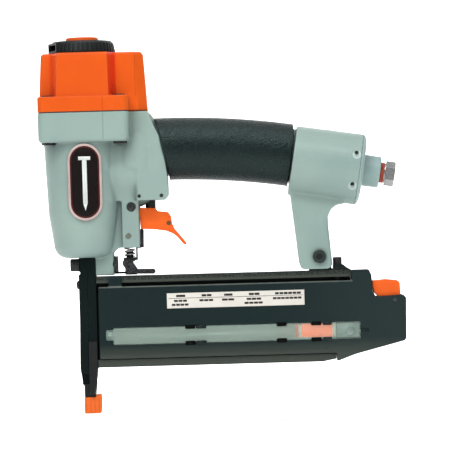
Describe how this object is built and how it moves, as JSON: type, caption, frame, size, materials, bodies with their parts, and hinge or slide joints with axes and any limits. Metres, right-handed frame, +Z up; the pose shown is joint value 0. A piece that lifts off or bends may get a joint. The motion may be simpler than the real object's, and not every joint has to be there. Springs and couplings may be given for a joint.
{
  "type": "pneumatic brad nailer",
  "caption": "Air-powered brad nailer with a side-loading magazine under an arched grip, a contact-arm safety at the nose, a turning exhaust deflector on top and a rear air inlet.",
  "frame": {"origin": "on the driver line, in the plane of the soft tip's face that rests on the work", "axes": "+X back along the magazine to the air inlet, +Z up the barrel to the exhaust, -Y the side on which the magazine opens"},
  "size_m": [0.2417, 0.058, 0.2514],
  "materials": {
    "painted_casting": "satin grey-green paint",
    "orange_cap": "satin orange paint",
    "orange_plastic": "satin",
    "soft_grip": "fine grain",
    "dark_casting": "satin dark green-black paint",
    "dark_plastic": "satin",
    "black_steel": "black oxide",
    "bright_steel": "bright",
    "plated_steel": "plated",
    "aluminium": "machined",
    "black_rubber": "smooth",
    "red_sealant": "dull",
    "smoke_window": "clear satin",
    "salmon_plastic": "satin",
    "tip_rubber": "smooth orange",
    "badge_enamel": "gloss with a pale rim",
    "white_label": "printed bars",
    "gasket_paper": "dull"
  },
  "bodies": {
    "housing": {"main_housing": "painted_casting", "badge": "badge_enamel", "grip_sleeve": "soft_grip", "cylinder_sleeve": "aluminium", "piston_bumper": "black_rubber", "head_valve_spring": "bright_steel", "top_cap": "orange_cap", "cap_gasket": "gasket_paper", "cap_screws": "black_steel", "cap_washers": "black_steel", "cap_nuts": "black_steel", "deflector_screw": "black_steel", "end_cap": "painted_casting", "end_cap_seal": "black_rubber", "end_cap_pins": "black_steel", "inlet_fitting": "plated_steel", "thread_sealant": "red_sealant", "trigger_valve_housing": "dark_plastic", "trigger_valve_pins": "black_steel", "trigger_valve_seal": "black_rubber", "trigger_pivot_pin": "black_steel", "trigger_spring": "bright_steel", "nose_block": "dark_casting", "nose_cover_plate": "dark_casting", "nose_nut_plate": "black_steel", "nose_bolts": "black_steel", "nose_screws": "black_steel", "contact_spring": "bright_steel", "arm_guide_pin": "bright_steel", "magazine_rail": "dark_casting", "rear_bracket": "dark_casting", "bracket_screw": "black_steel", "post_screw": "black_steel", "post_nut": "black_steel"},
    "trigger": {"trigger": "orange_plastic", "trigger_bushes": "dark_plastic", "trigger_lever_pin": "bright_steel"},
    "trigger_lever": {"trigger_lever": "black_steel"},
    "valve_stem": {"valve_stem": "dark_plastic"},
    "contact_arm": {"contact_foot": "black_steel", "contact_arm_strip": "black_steel", "contact_yoke": "black_steel", "contact_arm_upper": "black_steel"},
    "no_mar_tip": {"no_mar_tip": "tip_rubber"},
    "magazine_cover": {"magazine_cover": "dark_casting", "magazine_window": "smoke_window", "window_screw": "aluminium", "spec_label": "white_label", "latch_pin": "black_steel"},
    "magazine_latch": {"magazine_latch": "orange_plastic"},
    "pusher": {"pusher": "salmon_plastic"},
    "deflector": {"exhaust_deflector": "dark_plastic", "deflector_plug": "orange_plastic"},
    "piston": {"piston": "aluminium", "piston_seal": "black_rubber", "driver_blade": "bright_steel"},
    "head_valve": {"head_valve": "dark_plastic", "head_valve_seal": "black_rubber"}
  },
  "joints": [
    {"name": "trigger_squeeze", "type": "hinge", "parent": "housing", "child": "trigger", "pos_m": [0.0314, 0, 0.1372], "axis": [0, -1, 0], "range_deg": [0, 12], "stiffness_Nm_per_rad": 0.25, "springref_deg": -11.46, "deforming": ["trigger_spring"]},
    {"name": "lever_swing", "type": "hinge", "parent": "trigger", "child": "trigger_lever", "pos_m": [0.0561, 0, 0.1258], "axis": [0, 1, 0], "range_deg": [-6, 0]},
    {"name": "stem_push", "type": "slide", "parent": "housing", "child": "valve_stem", "axis": [0, 0, 1], "range_m": [0, 0.0028]},
    {"name": "arm_lift", "type": "slide", "parent": "housing", "child": "contact_arm", "axis": [0, 0, 1], "range_m": [0, 0.006], "stiffness_N_per_m": 800, "springref_m": -0.004, "deforming": ["contact_spring"]},
    {"name": "tip_pull", "type": "slide", "parent": "contact_arm", "child": "no_mar_tip", "axis": [0, 0, -1], "range_m": [0, 0.02]},
    {"name": "cover_slide", "type": "slide", "parent": "housing", "child": "magazine_cover", "axis": [1, 0, 0], "range_m": [0, 0.14]},
    {"name": "latch_press", "type": "hinge", "parent": "magazine_cover", "child": "magazine_latch", "pos_m": [0.2056, 0, 0.0704], "axis": [0, 1, 0], "range_deg": [0, 10], "stiffness_Nm_per_rad": 0.15, "springref_deg": -11.46},
    {"name": "pusher_slide", "type": "slide", "parent": "magazine_cover", "child": "pusher", "axis": [-1, 0, 0], "range_m": [0, 0.125]},
    {"name": "deflector_turn", "type": "hinge", "parent": "housing", "child": "deflector", "pos_m": [0.0012, 0, 0.2449], "axis": [0, 0, 1], "continuous": true},
    {"name": "drive_stroke", "type": "slide", "parent": "housing", "child": "piston", "axis": [0, 0, -1], "range_m": [0, 0.079]},
    {"name": "head_valve_lift", "type": "slide", "parent": "housing", "child": "head_valve", "axis": [0, 0, 1], "range_m": [0, 0.004], "stiffness_N_per_m": 1500, "springref_m": -0.003, "deforming": ["head_valve_spring"]}
  ],
  "couplings": [
    {"joint": "stem_push", "follows": "trigger_squeeze", "m_per_rad": 0.0128}
  ]
}
